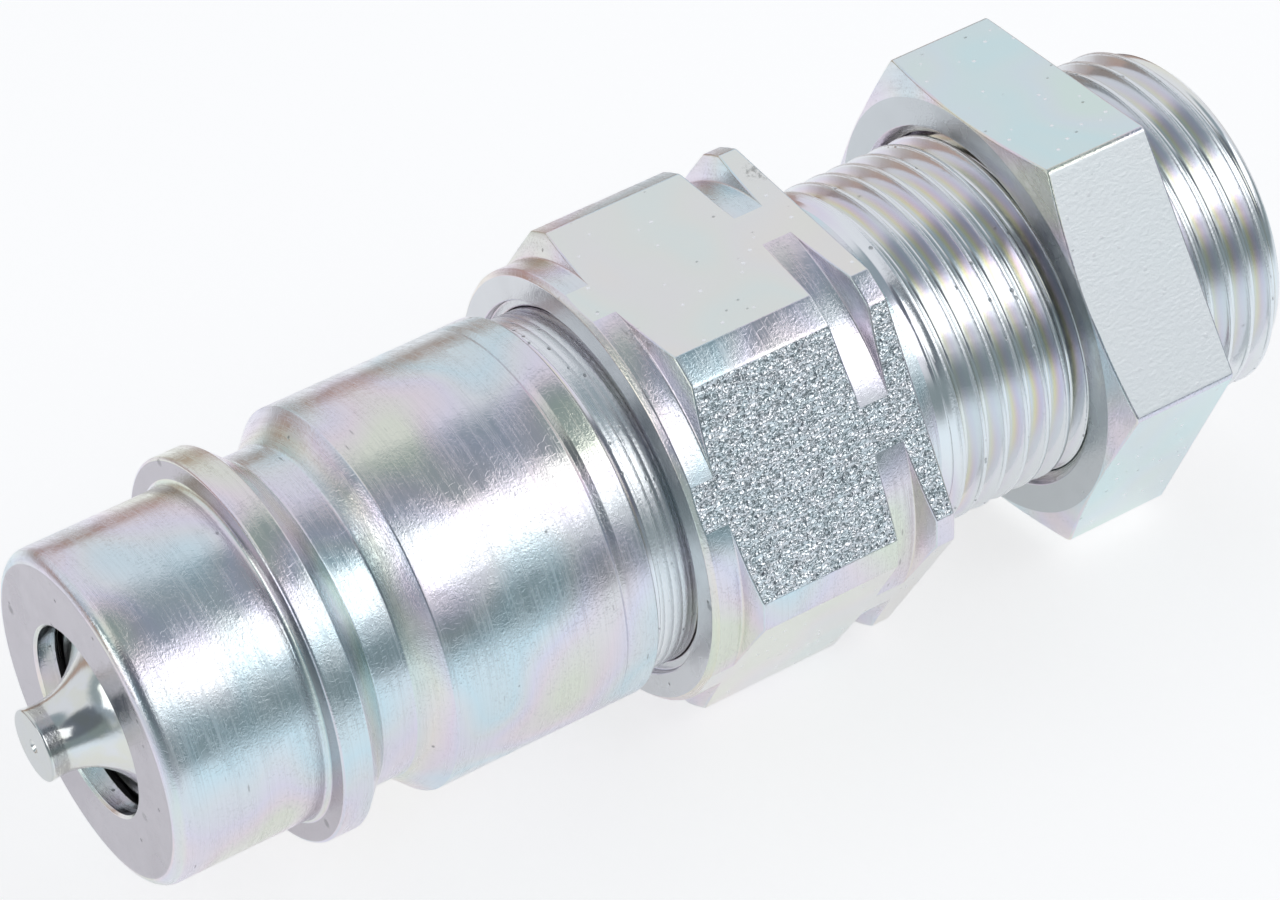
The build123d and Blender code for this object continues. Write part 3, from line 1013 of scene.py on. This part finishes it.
def dress():
    """Makes the detailed pieces and gives every carried-over part its finish."""
    nose, rear, nut, poppet, spring = nose_body(), rear_body(), lock_nut(), valve_poppet(), valve_spring()
    made = [
        (nose, "coupling_body", "nose_body", "plated_steel"),
        (rear, "coupling_body", "rear_body", "plated_steel"),
        (nut, "lock_nut", "lock_nut", "plated_nut"),
        (poppet, "valve", "valve_poppet", "polished_steel"),
        (spring, "coupling_body", "valve_spring", "spring_steel"),
    ]
    for piece, body, node, slot in made:
        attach(piece, body)
        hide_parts(node)
    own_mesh(spring)
    rubber = moulded_rubber()
    carried_over = {
        "valve_guide": pressed_steel(),
        "guide_circlip": drawn_wire("circlip_steel", (0.20, 0.20, 0.21), (0.36, 0.35, 0.34)),
        "poppet_seal": rubber,
        "body_seal": rubber,
        "backup_ring": hard_plastic(),
    }
    for node, material in carried_over.items():
        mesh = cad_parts[node].data
        mesh.materials.clear()
        mesh.materials.append(material)


# Studio

FLOOR_RADIUS = 0.3
FLOOR_GLOW = 0.68
MIRRORED_GLOW = 0.25
LAMP_DISTANCE = 0.7
WHITE = (1.0, 1.0, 1.0)
BLACK = (0.0, 0.0, 0.0)
LENS = 153.917
CAMERA_PLACE = (-0.12228679, -0.20059104, 0.22745083)
CAMERA_TURN = (47.89196, 2.06261, -33.33138)


def direction(azimuth, elevation):
    """Unit vector; azimuth turns from +Y towards +X, elevation is above the horizon."""
    a, e = radians(azimuth), radians(elevation)
    return (sin(a) * cos(e), cos(a) * cos(e), sin(e))


def studio_floor():
    """Pale round table top that keeps the object's shadow; to reflected and bounced rays it glows near the
    object and is painted darker away from it.
    """
    shape = bmesh.new()
    bmesh.ops.create_circle(shape, cap_ends=True, segments=96, radius=FLOOR_RADIUS)
    mesh = bpy.data.meshes.new("floor")
    shape.to_mesh(mesh)
    shape.free()
    material, finish = new_finish("pale_floor")
    spot = finish.node("TexCoord", output="Object")
    across = finish.part(spot, 1)
    away = finish.vector("LENGTH", spot, output="Value").between(0.055, 0.17)
    # Painted reflections: seen only by reflected and bounced rays, pale near the object and dark grey and
    # brown farther out, standing in for the darker room.
    near_by = finish.blend(across.between(0.0, -0.05), (0.88, 0.86, 0.88), (0.74, 0.86, 0.93))
    painted_far_room = finish.blend(across.between(-0.02, 0.06), (0.28, 0.33, 0.36), (0.50, 0.38, 0.33))
    table = finish.node("BsdfDiffuse", None, {"Color": finish.blend(away, near_by, painted_far_room)})
    # Painted glow: near the object the table top also gives off light to reflected and bounced rays.
    painted_glow = finish.node("Emission", None, {"Color": finish.blend(away, (0.36, 0.36, 0.36), BLACK)})
    table = finish.node("AddShader", None, {0: table, 1: painted_glow})
    cloth = finish.node("BsdfDiffuse", None, {"Color": (0.42, 0.42, 0.42, 1)})
    glow = finish.node("Emission", None, {"Color": (*WHITE, 1), "Strength": FLOOR_GLOW})
    seen = finish.node("AddShader", None, {0: cloth, 1: glow})
    camera = finish.node("LightPath", output="Is Camera Ray")
    glossy = finish.node("LightPath", output="Is Glossy Ray")
    clear = finish.node("LightPath", output="Is Transmission Ray")
    shown = (camera + glossy * MIRRORED_GLOW + clear).lowest(1.0)
    mixed = finish.node("MixShader", None, {0: shown, 1: table, 2: seen})
    finish.node("OutputMaterial", None, {"Surface": mixed})
    mesh.materials.append(material)
    floor = bpy.data.objects.new("floor", mesh)
    bpy.context.scene.collection.objects.link(floor)


def facing(finish, way, azimuth, elevation):
    """Cosine of the angle between where a ray goes and a direction."""
    return finish.vector("DOT_PRODUCT", way, direction(azimuth, elevation), output="Value")


def patch(finish, way, azimuth, elevation, inner, outer):
    """1 within an angle of a direction, 0 beyond a larger one."""
    return facing(finish, way, azimuth, elevation).between(cos(radians(outer)), cos(radians(inner)))


def studio_walls():
    """Pale studio all round, with the darker parts of the room that the metal mirrors."""
    world = bpy.data.worlds.new("studio")
    bpy.context.scene.world = world
    world.use_nodes = True
    finish = Finish(world.node_tree)
    way = finish.node("TexCoord", output="Generated")
    height = finish.part(way, 2)
    near = facing(finish, way, 159, 0)
    near_band = height.between(-0.30, -0.12) * height.between(0.37, 0.20) * near.between(-0.1, 0.35)
    far_band = height.between(-0.26, -0.14) * height.between(0.19, 0.05) * near.between(0.05, -0.35)
    room = finish.blend(height.between(0.0, 0.6), (0.81, 0.83, 0.86), (0.82, 0.83, 0.88))
    darker = [
        (patch(finish, way, 98, 73, 14, 30), (0.30, 0.36, 0.40)),
        (patch(finish, way, -152, 36, 34, 46), (0.15, 0.17, 0.20)),
        (patch(finish, way, -84, 13, 24, 38), (0.33, 0.39, 0.45)),
        (near_band, (0.25, 0.30, 0.32)),
        (far_band, (0.47, 0.35, 0.30)),
    ]
    for share, colour in darker:
        room = finish.blend(share, room, colour)
    camera = finish.node("LightPath", output="Is Camera Ray")
    shown = finish.blend(camera, room, WHITE)
    background = finish.node("Background", None, {"Color": shown, "Strength": 1.0})
    finish.node("OutputWorld", None, {"Surface": background})


def soft_box(name, azimuth, elevation, width, height, radiance):
    """A flat lamp that faces the object from that direction."""
    lamp = bpy.data.lights.new(name, "AREA")
    lamp.shape = "RECTANGLE"
    lamp.size, lamp.size_y = width, height
    lamp.energy = radiance * pi * width * height
    holder = bpy.data.objects.new(name, lamp)
    away = Vector(direction(azimuth, elevation))
    holder.location = away * LAMP_DISTANCE + Vector((0, 0, AXIS_HEIGHT * MM))
    holder.rotation_euler = away.to_track_quat("Z", "Y").to_euler()
    bpy.context.scene.collection.objects.link(holder)


def studio_camera():
    """The camera that was fitted to the photo's outlines."""
    camera = bpy.data.objects.new("camera", bpy.data.cameras.new("camera"))
    camera.data.sensor_width = 36
    camera.data.lens = LENS
    camera.data.clip_start, camera.data.clip_end = 0.01, 10
    camera.location = CAMERA_PLACE
    camera.rotation_euler = Euler([radians(turn) for turn in CAMERA_TURN])
    bpy.context.scene.collection.objects.link(camera)
    bpy.context.scene.camera = camera


dress()
studio_floor()
studio_walls()
soft_box("key", 150, 45, 0.75, 0.36, 1.25)
soft_box("left", -86, 12, 0.38, 0.34, 1.35)
studio_camera()
bpy.context.scene.view_settings.view_transform = "Standard"
